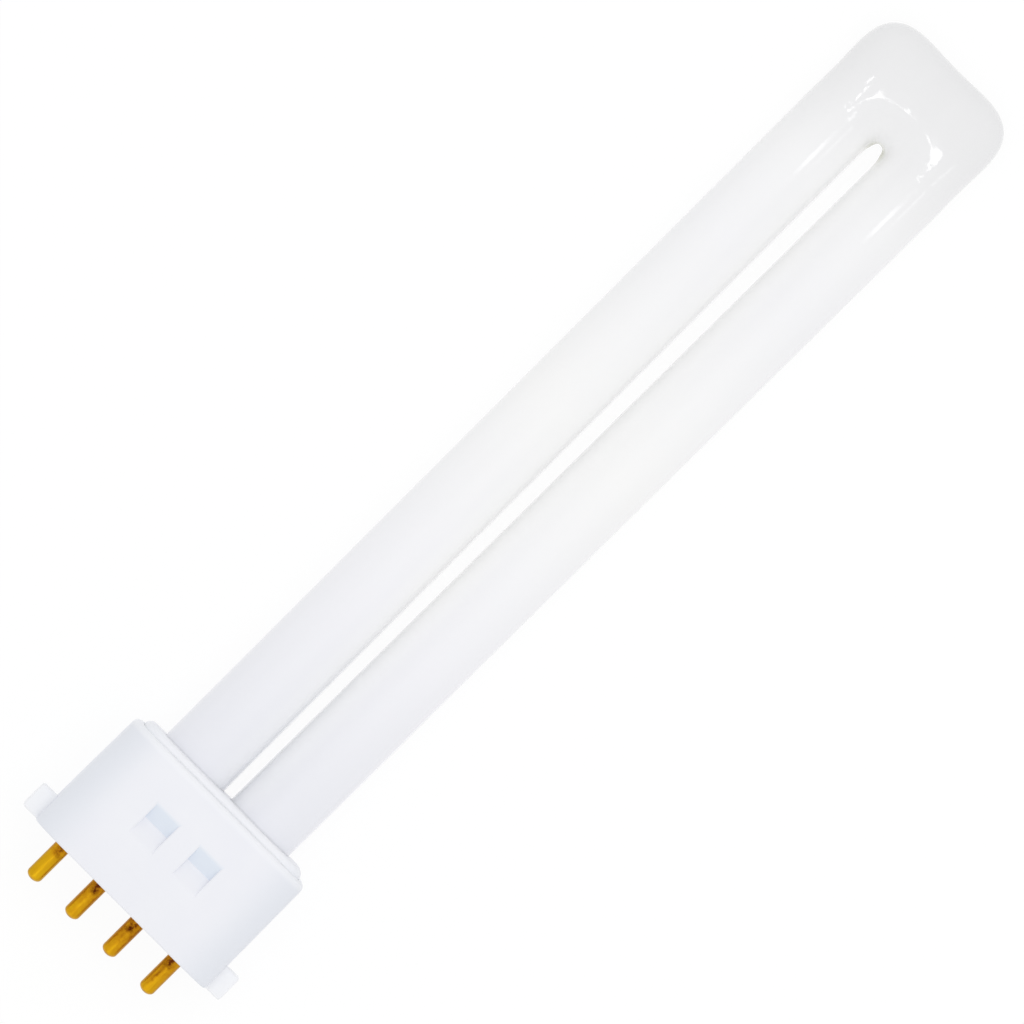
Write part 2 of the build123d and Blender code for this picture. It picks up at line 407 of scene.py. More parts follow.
for side in (-1, 1):
    wanted = lamp_point(side * FLANK_PLACE, 0, FLANK_HEIGHT)
    nearest = min(tube.data.vertices, key=lambda point: (point.co - wanted).length).co / MM
    pick(tube, "VERT", lambda c: c[0] == nearest)
    push_softly(-side * FLANK_PUSH * across, FLANK_REACH)
    bpy.ops.object.mode_set(mode="OBJECT")
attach(tube, "root")
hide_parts("glass_tube")

# %% [markdown]
# ## Patterns for materials
# Real surfaces are never one even colour. Their patterns have real sizes, so each one's scale is
# worked out from millimetres. Other changes go by the height on the lamp, which is measured along
# its axis from the underside of the cap.

# %% Helpers for patterns
# Nearly all of a noise lies between these values.
NOISE_RANGE = {"From Min": 0.3, "From Max": 0.7}
foot = Vector(seat["pos_m"]).dot(along)


def fineness(size):
    """The scale of a pattern whose patches are so many millimetres wide."""
    return 1 / (size * MM)


def heights(*levels):
    """Heights above the underside of the cap, in millimetres, as metres along the lying lamp."""
    return [foot + level * MM for level in levels]


print("underside of the cap", *in_mm([foot]), "mm along the axis")

# %% [markdown]
# ## Coated glass
# Lamp glass is clear, and the white is a powder washed on to its inside and baked. The eye sees a
# chalky white under a hard gloss: a matt colour below a smooth clear coat. The white changes along
# the tube, cooler by the cap and greyer at the bend. Between the legs the flanks of the slot are
# painted whiter, as painted light, and round the end of the slot lies an olive painted shade.
# Faint runs of the wash lie along the legs, and drawn glass is never quite flat, which breaks the
# reflections a little.

# %% The white powder
# Colours along the tube, by the height above the underside of the cap in millimetres.
COAT_FROM, COAT_TO = 20.0, 152.0
COAT_COLOURS = (
    (26.0, "#ECEDF3"),
    (52.0, "#F3F3F7"),
    (86.0, "#F8F8F8"),
    (118.0, "#F5F5F7"),
    (133.0, "#F5F5F6"),
    (148.0, "#ECECED"),
)
RUN_WIDTH, RUN_LENGTH, RUN_DEPTH = 3.0, 24.0, 0.012


def stops_along(colours):
    """Stops of a ramp along the tube, from colours at heights in millimetres."""
    return [((level - COAT_FROM) / (COAT_TO - COAT_FROM), code) for level, code in colours]


coated_glass, tree = new_material("phosphor_coated_lamp_glass")
place = add(tree, "TexCoord").outputs["Object"]
height = add(tree, "VectorMath", {0: place, 1: along}, operation="DOT_PRODUCT").outputs["Value"]
start, end = heights(COAT_FROM, COAT_TO)
share = add(
    tree, "MapRange", {"Value": height, "From Min": start, "From Max": end}
).outputs["Result"]
coat = add(tree, "ValToRGB", {"Fac": share}, stops_along(COAT_COLOURS)).outputs["Color"]
# Runs of the wash: noise drawn out along the legs, a percent or so darker.
stretch = (RUN_WIDTH / RUN_LENGTH, 1, 1)
drawn = add(tree, "Mapping", {"Vector": place, "Scale": stretch}).outputs["Vector"]
runs = add(
    tree, "TexNoise", {"Vector": drawn, "Scale": fineness(RUN_WIDTH), "Detail": 3.0}
).outputs["Fac"]
dimming = add(
    tree, "MapRange", {"Value": runs, **NOISE_RANGE, "To Min": 1 - RUN_DEPTH, "To Max": 1.0}
).outputs["Result"]
washed = add(tree, "VectorMath", {0: coat, "Scale": dimming}, operation="SCALE").outputs["Vector"]
print("coat:", len(COAT_COLOURS), "colours from", COAT_FROM, "to", COAT_TO, "mm")

# %% Painted light on the flanks and painted shade at the end of the slot
FLANK_LIGHT_COLOURS = ((26.0, "#F6F7FA"), (60.0, "#FDFDFD"))
FLANK_FROM, FLANK_TO = 4.5, 1.0
FLANK_LOW, FLANK_HIGH = 138.5, 146.0
CROTCH_HEIGHT = 140.3
SLOT_END_SHADE_COLOUR = "#D2D4BE"
SLOT_END_SHADE_REACH = 2.6
# Painted light: the flanks of the slot, where the legs shade each other, are painted whiter.
sideways = add(tree, "VectorMath", {0: place, 1: across}, operation="DOT_PRODUCT").outputs["Value"]
aside = add(tree, "Math", {0: sideways}, operation="ABSOLUTE").outputs["Value"]
inner = add(
    tree,
    "MapRange",
    {"Value": aside, "From Min": FLANK_FROM * MM, "From Max": FLANK_TO * MM},
    interpolation_type="SMOOTHSTEP",
).outputs["Result"]
start, end = heights(FLANK_HIGH, FLANK_LOW)
below = add(
    tree,
    "MapRange",
    {"Value": height, "From Min": start, "From Max": end},
    interpolation_type="SMOOTHSTEP",
).outputs["Result"]
flank_light_share = add(tree, "Math", {0: inner, 1: below}, operation="MULTIPLY").outputs["Value"]
painted_flank_white = add(tree, "ValToRGB", {"Fac": share}, stops_along(FLANK_LIGHT_COLOURS)).outputs["Color"]
lit_up = add(tree, "MixRGB", {"Fac": flank_light_share, "Color1": washed, "Color2": painted_flank_white}).outputs["Color"]
# Painted shade: round the end of the slot, where the glass curves in, the coat is painted a darker
# olive.
crotch = lamp_point(0, 0, CROTCH_HEIGHT)
away = add(tree, "VectorMath", {0: place, 1: crotch}, operation="DISTANCE").outputs["Value"]
slot_end_shade = add(
    tree,
    "MapRange",
    {"Value": away, "From Min": 0.0, "From Max": SLOT_END_SHADE_REACH * MM, "To Min": 1.0, "To Max": 0.0},
    interpolation_type="SMOOTHSTEP",
).outputs["Result"]
olive = colour(SLOT_END_SHADE_COLOUR)
coat_with_painted_light_and_shade = add(tree, "MixRGB", {"Fac": slot_end_shade, "Color1": lit_up, "Color2": olive}).outputs["Color"]
print("slot: white below", FLANK_HIGH, "mm, olive within", SLOT_END_SHADE_REACH, "mm of its end")

# %% Gloss over the powder
GLASS_IOR = 1.51
GLASS_ROUGHNESS = 0.05
POWDER_ROUGHNESS = 0.6
WAVE_SIZE, WAVE_HEIGHT = 5.0, 0.04
WAVE_FROM, WAVE_TO = 141.5, 145.5
LEG_WAVES = 0.1


def dress(piece, material):
    """Give a piece one material."""
    piece.data.materials.clear()
    piece.data.materials.append(material)


# The blown end is wavy, and the drawn legs are almost true.
waves = add(
    tree, "TexNoise", {"Vector": place, "Scale": fineness(WAVE_SIZE), "Detail": 1.0}
).outputs["Fac"]
start, end = heights(WAVE_FROM, WAVE_TO)
blown = add(
    tree,
    "MapRange",
    {"Value": height, "From Min": start, "From Max": end, "To Min": LEG_WAVES, "To Max": 1.0},
    interpolation_type="SMOOTHSTEP",
).outputs["Result"]
swell = add(tree, "Math", {0: waves, 1: blown}, operation="MULTIPLY").outputs["Value"]
ripple = add(
    tree, "Bump", {"Height": swell, "Distance": WAVE_HEIGHT * MM, "Strength": 1.0}
).outputs["Normal"]
shader = add(
    tree,
    "BsdfPrincipled",
    {
        "Base Color": coat_with_painted_light_and_shade,
        "Roughness": POWDER_ROUGHNESS,
        "IOR": GLASS_IOR,
        "Normal": ripple,
        "Coat Weight": 1.0,
        "Coat Roughness": GLASS_ROUGHNESS,
        "Coat IOR": GLASS_IOR,
        "Coat Normal": ripple,
    },
)
add(tree, "OutputMaterial", {"Surface": shader.outputs[0]})
dress(tube, coated_glass)
print(coated_glass.name, "with", len(tree.nodes), "nodes")

# %% [markdown]
# ## The cap
# The cap is moulded in white plastic: a drafted cup with round corners, a softened rim, a lug on
# each narrow side and two V notches on each broad side for the clips of a lampholder. The solid has
# plain bevels and sharp notches, and a real moulding has round edges that catch the light. So the
# cup is modelled again from a box, as by hand, and its edges are bevelled round, the notches' too.

# %% Helpers for moulded pieces
UPRIGHT_RISE = 1.0


def start_block(name, size, middle):
    """A box of a size at a place on the upright lamp, in millimetres, as a start for modelling."""
    bpy.ops.object.select_all(action="DESELECT")
    bpy.ops.mesh.primitive_cube_add(size=1, location=Vector(middle) * MM)
    block = bpy.context.object
    block.name = name
    block.scale = Vector(size) * MM
    bpy.ops.object.transform_apply(location=True, scale=True)
    return block


def level_with(height):
    """A test for corners that all lie at one height."""
    return lambda corners: all(near(corner.z, height) for corner in corners)


def upright(ends):
    """True if an edge stands upright."""
    return abs(ends[0].z - ends[1].z) > UPRIGHT_RISE


def round_off(radius, steps):
    """Bevel the picked edges round, by a radius in millimetres."""
    bpy.ops.mesh.bevel(offset=radius * MM, segments=steps, affect="EDGES")


print("edges that rise more than", UPRIGHT_RISE, "mm are upright")

# %% The cup's outside
CAP_WIDTH, CAP_DEPTH, RIM_HEIGHT = 31.6, 19.07, 18.9
CAP_DRAFT = RIM_HEIGHT * math.tan(math.radians(0.6))
CORNER_RADIUS, CORNER_STEPS = 5.0, 10
housing = start_block("cap_cup", (CAP_WIDTH, CAP_DEPTH, RIM_HEIGHT), (0, 0, RIM_HEIGHT / 2))
pick(housing, "FACE", level_with(RIM_HEIGHT))
taper = (1 - 2 * CAP_DRAFT / CAP_WIDTH, 1 - 2 * CAP_DRAFT / CAP_DEPTH, 1)
bpy.ops.transform.resize(value=taper, center_override=(0, 0, RIM_HEIGHT * MM))
pick(housing, "EDGE", upright)
round_off(CORNER_RADIUS, CORNER_STEPS)
bpy.ops.object.mode_set(mode="OBJECT")
print("cup:", len(housing.data.polygons), "faces")

# %% The V notches
NOTCH_FOOT, NOTCH_DEEPEST, NOTCH_TOP = 7.6, 10.6, 13.0
NOTCH_WIDTH, NOTCH_SPACING, NOTCH_DEPTH = 4.1, 7.9, 1.2
MERGE_WITHIN = 0.001
notches = [
    (side * NOTCH_SPACING / 2 - NOTCH_WIDTH / 2, side * NOTCH_SPACING / 2 + NOTCH_WIDTH / 2)
    for side in (-1, 1)
]


def on_broad_face(corners, facing, depth=0.0):
    """True if all corners lie on the broad face to one side of y, or at a depth below it."""
    face = CAP_DEPTH / 2 - depth
    return all(near(facing * c.y, face - CAP_DRAFT * c.z / RIM_HEIGHT) for c in corners)


def in_notch(corner, left, right):
    """True if a point lies within the outline of one notch, or on it."""
    beside = left - NEAR < corner.x < right + NEAR
    return beside and NOTCH_FOOT - NEAR < corner.z < NOTCH_TOP + NEAR


cuts = [((x, 0, 0), (1, 0, 0)) for notch in notches for x in notch]
cuts += [((0, 0, z), (0, 0, 1)) for z in (NOTCH_FOOT, NOTCH_DEEPEST, NOTCH_TOP)]
for facing in (-1, 1):
    for place, normal in cuts:
        pick(housing, "FACE", lambda corners: on_broad_face(corners, facing))
        bpy.ops.mesh.bisect(plane_co=Vector(place) * MM, plane_no=normal)
    for left, right in notches:
        pick(
            housing,
            "FACE",
            lambda cs: on_broad_face(cs, facing) and all(in_notch(c, left, right) for c in cs),
        )
        extrude(0, -facing * NOTCH_DEPTH, 0)
        # Only the deepest line stays in: the foot and the top go back, which makes the V.
        pick(
            housing,
            "VERT",
            lambda c: on_broad_face(c, facing, NOTCH_DEPTH)
            and in_notch(c[0], left, right)
            and not near(c[0].z, NOTCH_DEEPEST),
        )
        bpy.ops.transform.translate(value=(0, facing * NOTCH_DEPTH * MM, 0))
bpy.ops.mesh.select_all(action="SELECT")
bpy.ops.mesh.remove_doubles(threshold=MERGE_WITHIN * MM)
bpy.ops.object.mode_set(mode="OBJECT")
print("notched cup:", len(housing.data.polygons), "faces")

# %% Soft edges of the notches
NOTCH_ROUND, NOTCH_STEPS = 0.3, 5


def notch_outline(ends):
    """True if an edge of a broad face borders a notch."""
    if not (on_broad_face(ends, -1) or on_broad_face(ends, 1)):
        return False
    for left, right in notches:
        beside = any(all(near(end.x, side) for end in ends) for side in (left, right))
        above_or_below = any(level_with(height)(ends) for height in (NOTCH_FOOT, NOTCH_TOP))
        if (beside or above_or_below) and all(in_notch(end, left, right) for end in ends):
            return True
    return False


pick(housing, "EDGE", notch_outline)
round_off(NOTCH_ROUND, NOTCH_STEPS)
bpy.ops.object.mode_set(mode="OBJECT")
print("softened cup:", len(housing.data.polygons), "faces")

# %% Round rim and foot
RIM_ROUND, FOOT_ROUND, RIM_STEPS = 0.85, 0.35, 4
for height, radius in ((RIM_HEIGHT, RIM_ROUND), (0, FOOT_ROUND)):
    pick(housing, "EDGE", level_with(height))
    round_off(radius, RIM_STEPS)
bpy.ops.object.mode_set(mode="OBJECT")
print("rounded cup:", len(housing.data.polygons), "faces")

# %% Seat and cavity
SEAT_WIDTH, SEAT_DEPTH = 28.796, 3.0
LEDGE = 0.8
FLOOR = 2.0
pick(housing, "FACE", level_with(RIM_HEIGHT))
seat_inset = (CAP_WIDTH - SEAT_WIDTH) / 2 - CAP_DRAFT - RIM_ROUND
bpy.ops.mesh.inset(thickness=seat_inset * MM)
extrude(0, 0, -SEAT_DEPTH)
bpy.ops.mesh.inset(thickness=LEDGE * MM)
extrude(0, 0, -(RIM_HEIGHT - SEAT_DEPTH - FLOOR))
bpy.ops.object.mode_set(mode="OBJECT")
print("hollow cup:", len(housing.data.polygons), "faces")

# %% [markdown]
# ## Lugs and holes
# The lugs grow out of the narrow sides, and the pins sit in round holes in the floor. Both are
# made with booleans: a bevelled block is joined to the cup, and cylinders are cut out of it.
# Smooth shading by angle then keeps the sharp edges crisp.

# %% Helpers for cutting and joining
SHARP_ANGLE = math.radians(20)


def choose(piece):
    """Leave edit mode and select one piece alone."""
    bpy.ops.object.mode_set(mode="OBJECT")
    bpy.ops.object.select_all(action="DESELECT")
    bpy.context.view_layer.objects.active = piece
    piece.select_set(True)


def cut_or_join(piece, tool, operation):
    """Boolean a tool into a piece and delete the tool."""
    choose(piece)
    bpy.ops.object.modifier_add(type="BOOLEAN")
    boolean = piece.modifiers[-1]
    boolean.object = tool
    boolean.operation = operation
    boolean.solver = "EXACT"
    bpy.ops.object.modifier_apply(modifier=boolean.name)
    bpy.data.objects.remove(tool)


def drill(piece, place, radius, length, points):
    """Cut a round upright hole with its middle at a place, in millimetres."""
    bpy.ops.object.select_all(action="DESELECT")
    bpy.ops.mesh.primitive_cylinder_add(
        vertices=points, radius=radius * MM, depth=length * MM, location=Vector(place) * MM
    )
    cut_or_join(piece, bpy.context.object, "DIFFERENCE")


print("edges flatter than", round(math.degrees(SHARP_ANGLE)), "degrees look smooth")

# %% Lugs and pin holes
LUG_REACH, LUG_HEIGHT, LUG_DEPTH, LUG_SETBACK = 2.45, 4.0, 5.0, 0.1
LUG_ROOT = 1.0
LUG_ROUND, LUG_STEPS = 0.35, 3
PIN_PITCH, PIN_COUNT = 7.0, 4
HOLE_RADIUS, HOLE_POINTS = 0.95, 32
lug_length = LUG_REACH + LUG_ROOT
lug_place = CAP_WIDTH / 2 + LUG_REACH - lug_length / 2
for side in (-1, 1):
    lug_middle = (side * lug_place, 0, LUG_SETBACK + LUG_HEIGHT / 2)
    lug = start_block("lug", (lug_length, LUG_DEPTH, LUG_HEIGHT), lug_middle)
    pick(lug, "EDGE", lambda ends: max(side * end.x for end in ends) > CAP_WIDTH / 2)
    round_off(LUG_ROUND, LUG_STEPS)
    cut_or_join(housing, lug, "UNION")
pin_places = [(number - (PIN_COUNT - 1) / 2) * PIN_PITCH for number in range(PIN_COUNT)]
for x in pin_places:
    drill(housing, (x, 0, 0), HOLE_RADIUS, 3 * FLOOR, HOLE_POINTS)
bpy.ops.object.shade_smooth_by_angle(angle=SHARP_ANGLE)
print("cup with lugs:", len(housing.data.polygons), "faces, pins at", pin_places)

# %% [markdown]
# ## Shaded catches
# A lampholder's steel clips snap over the steep upper side of each notch. That side faces towards
# the pins, away from the light, and is painted bluish grey as painted shade. An attribute on those
# faces marks them, and the plastic's finish reads it.

# %% Mark the catches
CATCH_SLOPE = math.sin(math.atan2(NOTCH_DEPTH, NOTCH_TOP - NOTCH_DEEPEST))
BROAD_FACING = 0.6
# Each face's share of painted shade grows with how steeply it faces towards the pins.
catch_shade = housing.data.attributes.new("catch_shade", "FLOAT", "FACE")
for face in housing.data.polygons:
    steep = -face.normal.z / CATCH_SLOPE if abs(face.normal.y) > BROAD_FACING else 0.0
    in_notches = NOTCH_FOOT * MM < face.center.z < (NOTCH_TOP + NOTCH_ROUND) * MM
    catch_shade.data[face.index].value = min(max(steep, 0.0), 1.0) if in_notches else 0.0
print("rubbed faces:", sum(mark.value > 0 for mark in catch_shade.data))

# %% [markdown]
# ## Laying down
# A finished piece is moved to where the solids are, and its place is written into its mesh. It is
# then told which body it rides on and which solid it stands for.

# %% Lay the cup down
def lay_down(piece, slot, *nodes):
    """Lay a finished upright piece where the solids are, and let it stand for its nodes."""
    choose(piece)
    piece.matrix_world = laid_down
    bpy.ops.object.transform_apply(location=True, rotation=True, scale=True)
    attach(piece, "root")
    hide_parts(*nodes)
    print(piece.name, len(piece.data.polygons), "faces", in_mm(piece.dimensions))


lay_down(housing, "cap_plastic", "base_housing")

# %% [markdown]
# ## The cover
# A plate closes the mouth of the cup and stands a little proud round the legs. Its solid has a
# plain edge, so the plate is modelled again as the cup was: a box with round corners and a
# well-rounded top edge, and two round holes cut for the legs.

# %% The plate
COVER_WIDTH, COVER_DEPTH = 28.6, 16.07
COVER_BOTTOM, COVER_TOP = 15.9, 19.95
COVER_CORNER = 3.5
COVER_ROUND, COVER_STEPS = 1.0, 5
LEG_HOLE, LEG_HOLE_POINTS, LEG_HOLE_LENGTH = 5.485, 64, 12
LEG_PLACE = 6.06
cover_size = (COVER_WIDTH, COVER_DEPTH, COVER_TOP - COVER_BOTTOM)
cover = start_block("mouth_cover", cover_size, (0, 0, (COVER_TOP + COVER_BOTTOM) / 2))
pick(cover, "EDGE", upright)
round_off(COVER_CORNER, CORNER_STEPS)
pick(cover, "EDGE", level_with(COVER_TOP))
round_off(COVER_ROUND, COVER_STEPS)
bpy.ops.object.mode_set(mode="OBJECT")
for side in (-1, 1):
    place = (side * LEG_PLACE, 0, COVER_TOP)
    drill(cover, place, LEG_HOLE, LEG_HOLE_LENGTH, LEG_HOLE_POINTS)
bpy.ops.object.shade_smooth_by_angle(angle=SHARP_ANGLE)
lay_down(cover, "cap_plastic", "base_cover")

# %% [markdown]
# ## Moulded plastic
# Caps like this are moulded in PBT, a hard white plastic with a satin skin: a broad soft sheen, no
# mirror, and a very fine grain from the spark-eroded mould. The white has a cool cast, and its tone
# drifts a little where the melt flowed. A real grain of 0.1 mm would not show here, so it is drawn
# three times as coarse and very shallow.

# %% The white of the plastic
PLASTIC_TONES = ((0.3, "#EEEFF5"), (0.7, "#F0F1F6"))
FLOW_SIZE = 7.0
CORNER_SHADE_COLOUR = "#E6E9F0"
CORNER_SHADE_FROM, CORNER_SHADE_TO, CUP_WALL_REACH = 8.5, 15.0, 15.8
cap_plastic, tree = new_material("moulded_pbt_plastic")
place = add(tree, "TexCoord").outputs["Object"]
flow = add(
    tree, "TexNoise", {"Vector": place, "Scale": fineness(FLOW_SIZE), "Detail": 2.0}
).outputs["Fac"]
tone = add(tree, "ValToRGB", {"Fac": flow}, PLASTIC_TONES).outputs["Color"]
# Painted shade: the round corners, which turn away from the light, are painted greyer.
sideways = add(tree, "VectorMath", {0: place, 1: across}, operation="DOT_PRODUCT").outputs["Value"]
aside = add(tree, "Math", {0: sideways}, operation="ABSOLUTE").outputs["Value"]
corner_shade = add(
    tree,
    "MapRange",
    {"Value": aside, "From Min": CORNER_SHADE_FROM * MM, "From Max": CORNER_SHADE_TO * MM},
    interpolation_type="SMOOTHSTEP",
).outputs["Result"]
wall = CUP_WALL_REACH * MM
on_wall = add(tree, "Math", {0: aside, 1: wall}, operation="LESS_THAN").outputs["Value"]
corner_shade_share = add(tree, "Math", {0: corner_shade, 1: on_wall}, operation="MULTIPLY").outputs["Value"]
corner_shade_grey = colour(CORNER_SHADE_COLOUR)
corner_shaded = add(tree, "MixRGB", {"Fac": corner_shade_share, "Color1": tone, "Color2": corner_shade_grey}).outputs["Color"]
print("plastic from", PLASTIC_TONES[0][1], "to", PLASTIC_TONES[1][1])

# %% Painted light and painted shade
PAINTED_LIGHT_PLASTIC = "#F6F7FA"
RIM_LIGHT_FROM, RIM_LIGHT_TO, RIM_LIGHT_SHARE = 17.6, 18.3, 0.5
CATCH_SHADE_COLOUR = "#E3EAF4"
# Painted light: the lugs, the rim and the cover are painted whiter, to lift the shade that falls on
# them.
off_wall = add(tree, "Math", {0: 1.0, 1: on_wall}, operation="SUBTRACT").outputs["Value"]
height = add(tree, "VectorMath", {0: place, 1: along}, operation="DOT_PRODUCT").outputs["Value"]
start, end = heights(RIM_LIGHT_FROM, RIM_LIGHT_TO)
rim_light = add(
    tree,
    "MapRange",
    {"Value": height, "From Min": start, "From Max": end, "To Max": RIM_LIGHT_SHARE},
    interpolation_type="SMOOTHSTEP",
).outputs["Result"]
painted_light = add(tree, "Math", {0: off_wall, 1: rim_light}, operation="MAXIMUM").outputs["Value"]
painted_light_white = colour(PAINTED_LIGHT_PLASTIC)
tone_with_painted_light = add(tree, "MixRGB", {"Fac": painted_light, "Color1": corner_shaded, "Color2": painted_light_white}).outputs["Color"]
# Painted shade: the catches of the notches, which face away from the light, are painted bluish grey.
shaded = add(tree, "Attribute", attribute_name="catch_shade").outputs["Fac"]
catch_shade_blue = colour(CATCH_SHADE_COLOUR)
tone_with_painted_light_and_shade = add(tree, "MixRGB", {"Fac": shaded, "Color1": tone_with_painted_light, "Color2": catch_shade_blue}).outputs["Color"]
print("thin places in", PAINTED_LIGHT_PLASTIC, "and rubbed ones in", CATCH_SHADE_COLOUR)

# %% Satin skin
PLASTIC_IOR = 1.55
SMOOTH_SATIN, ROUGH_SATIN = 0.42, 0.5
GRAIN_SIZE, GRAIN_HEIGHT = 0.3, 0.004
grain = add(
    tree, "TexNoise", {"Vector": place, "Scale": fineness(GRAIN_SIZE), "Detail": 2.0}
).outputs["Fac"]
satin = add(
    tree,
    "MapRange",
    {"Value": grain, **NOISE_RANGE, "To Min": SMOOTH_SATIN, "To Max": ROUGH_SATIN},
).outputs["Result"]
skin = add(
    tree, "Bump", {"Height": grain, "Distance": GRAIN_HEIGHT * MM, "Strength": 1.0}
).outputs["Normal"]
shader = add(
    tree,
    "BsdfPrincipled",
    {"Base Color": tone_with_painted_light_and_shade, "Roughness": satin, "IOR": PLASTIC_IOR, "Normal": skin},
)
add(tree, "OutputMaterial", {"Surface": shader.outputs[0]})
for piece in (housing, cover):
    dress(piece, cap_plastic)
print(cap_plastic.name, "on", housing.name, "and", cover.name)

# %% [markdown]
# ## The pins
# Each pin is a drawn brass tube with a closed round tip. Its neck is pressed into the cap, a wire
# goes up its bore, and a tool dents it from the front and the back to grip that wire. All four are
# alike, so one is made: a ring is extruded and resized from the bore's bottom, over the top and
# down to the tip, and the dents are pushed in with proportional editing.

# %% Profile of a pin
PIN_RADIUS, PIN_LENGTH, PIN_POINTS = 1.15, 6.1, 40
NECK_RADIUS, NECK_TOP = 0.9, 2.7
BORE_RADIUS, BORE_BOTTOM = 0.45, -5.1
CRIMP_MIDDLE, CRIMP_LENGTH, CRIMP_STEPS = -1.1, 1.5, 8
SHANK_LEVELS = (-2.2, -2.6, -3.0, -3.4, -3.9)
TIP_HEIGHT, TIP_STEPS = 0.8, 6
# Radius and height of each ring, from the mouth of the bore to the tip.
profile = [(BORE_RADIUS, NECK_TOP), (NECK_RADIUS, NECK_TOP), (NECK_RADIUS, 0.0), (PIN_RADIUS, 0.0)]
for step in range(CRIMP_STEPS + 1):
    profile.append((PIN_RADIUS, CRIMP_MIDDLE + CRIMP_LENGTH * (0.5 - step / CRIMP_STEPS)))
profile += [(PIN_RADIUS, level) for level in SHANK_LEVELS]
for step in range(TIP_STEPS):
    turn = step / TIP_STEPS * math.pi / 2
    level = TIP_HEIGHT - PIN_LENGTH - TIP_HEIGHT * math.sin(turn)
    profile.append((PIN_RADIUS * math.cos(turn), level))
print("profile:", len(profile), "rings")

# %% One pin
bpy.ops.object.select_all(action="DESELECT")
bpy.ops.mesh.primitive_circle_add(
    vertices=PIN_POINTS, radius=BORE_RADIUS * MM, location=(0, 0, BORE_BOTTOM * MM)
)
pin = bpy.context.object
pin.name = "brass_pin_1"
bpy.ops.object.transform_apply(location=True)
bpy.ops.object.mode_set(mode="EDIT")
bpy.ops.mesh.select_mode(type="VERT")
bpy.ops.mesh.select_all(action="SELECT")
radius, level = BORE_RADIUS, BORE_BOTTOM
for wider, lower in profile:
    extrude(0, 0, lower - level)
    scale = wider / radius
    bpy.ops.transform.resize(value=(scale, scale, 1), center_override=(0, 0, lower * MM))
    radius, level = wider, lower
extrude(0, 0, -PIN_LENGTH - level)
bpy.ops.mesh.merge(type="CENTER")
pick(pin, "VERT", lambda c: near(c[0].z, BORE_BOTTOM) and c[0].xy.length < BORE_RADIUS + NEAR)
bpy.ops.mesh.edge_face_add()
bpy.ops.mesh.select_all(action="SELECT")
bpy.ops.mesh.normals_make_consistent(inside=False)
bpy.ops.object.mode_set(mode="OBJECT")
print("pin:", len(pin.data.vertices), "points,", len(pin.data.polygons), "faces")

# %% Dents of the crimp
CRIMP_DEPTH = 0.18
# The tool's flat end touches points this far aside and this far below the pin's crest.
TOOL_HALF, TOOL_BITE = 0.25, 0.1
PIN_SHARP_ANGLE = math.radians(40)


def under_tool(corner, facing):
    """True if a point of the pin lies under the crimping tool on one side."""
    on_side = facing * corner.y > PIN_RADIUS - TOOL_BITE
    return near(corner.z, CRIMP_MIDDLE) and abs(corner.x) < TOOL_HALF and on_side


for facing in (-1, 1):
    pick(pin, "VERT", lambda c: under_tool(c[0], facing))
    push_softly((0, -facing * CRIMP_DEPTH, 0), CRIMP_LENGTH / 2)
bpy.ops.object.mode_set(mode="OBJECT")
bpy.ops.object.shade_smooth_by_angle(angle=PIN_SHARP_ANGLE)
ring = [v.co.xy.length for v in pin.data.vertices if near(v.co.z / MM, CRIMP_MIDDLE)]
print("dented to", *in_mm([min(ring)]), "mm from the axis")

# %% [markdown]
# ## Four pins in a row
# The crimping heat leaves a brown patch in each dent, a collar by the cap, a haze around them and,
# on some pins, a tail that runs down from the patch. The tip tarnishes. Across the row the sides of
# each pin are painted darker as painted shade, which leaves a bright line down the front and the
# back as a painted highlight. Each copy gets its own mesh, its own turn about its axis, and two
# attributes that say how scorched each point is, and how tarnished and shaded. The brass finish
# reads them.

# %% Four copies
pins = [pin]
for number in range(1, PIN_COUNT):
    choose(pin)
    bpy.ops.object.duplicate(linked=False)
    pins.append(bpy.context.object)
    pins[-1].name = f"brass_pin_{number + 1}"
print("pins:", [copy.name for copy in pins])

# %% Marks of heat and tarnish
# For each pin: how far down the patch and its tail go, how far aside the patch is, how dark they
# are, and the haze around them.
SCORCHES = (
    (-1.7, -2.0, 0.0, 0.75, 0.06),
    (-1.9, -3.0, -0.05, 0.93, 0.38),
    (-2.4, -4.4, -0.12, 0.9, 0.5),
    (-1.9, -5.2, -0.2, 0.93, 0.3),
)
PATCH_WIDTH, PATCH_BELOW, PATCH_ABOVE = 0.85, 0.5, 0.7
TAIL_WIDTH, TAIL_FADE, TAIL_DARK = 0.35, 1.2, 0.65
COLLAR_FROM, COLLAR_TO, COLLAR_DARK = -2.6, -0.2, 0.35
HAZE_FROM, HAZE_TO, HAZE_LEAST = -5.4, -1.5, 0.4
TIP_TARNISH = 0.4
# Two steps of painted shade on the sides that add up: how much, and between which distances from the
# middle line, which is left bright as a painted highlight.
SIDE_SHADE = ((0.45, 0.0, 0.45), (0.35, 0.7, PIN_RADIUS))


def ramp(value, start, end):
    """0 before the start, 1 past the end, smooth between them."""
    share = min(max((value - start) / (end - start), 0.0), 1.0)
    return share * share * (3 - 2 * share)


def stripe(distance, width):
    """1 on a line, falling off smoothly to both sides over a width."""
    return math.exp(-((distance / width) ** 2))


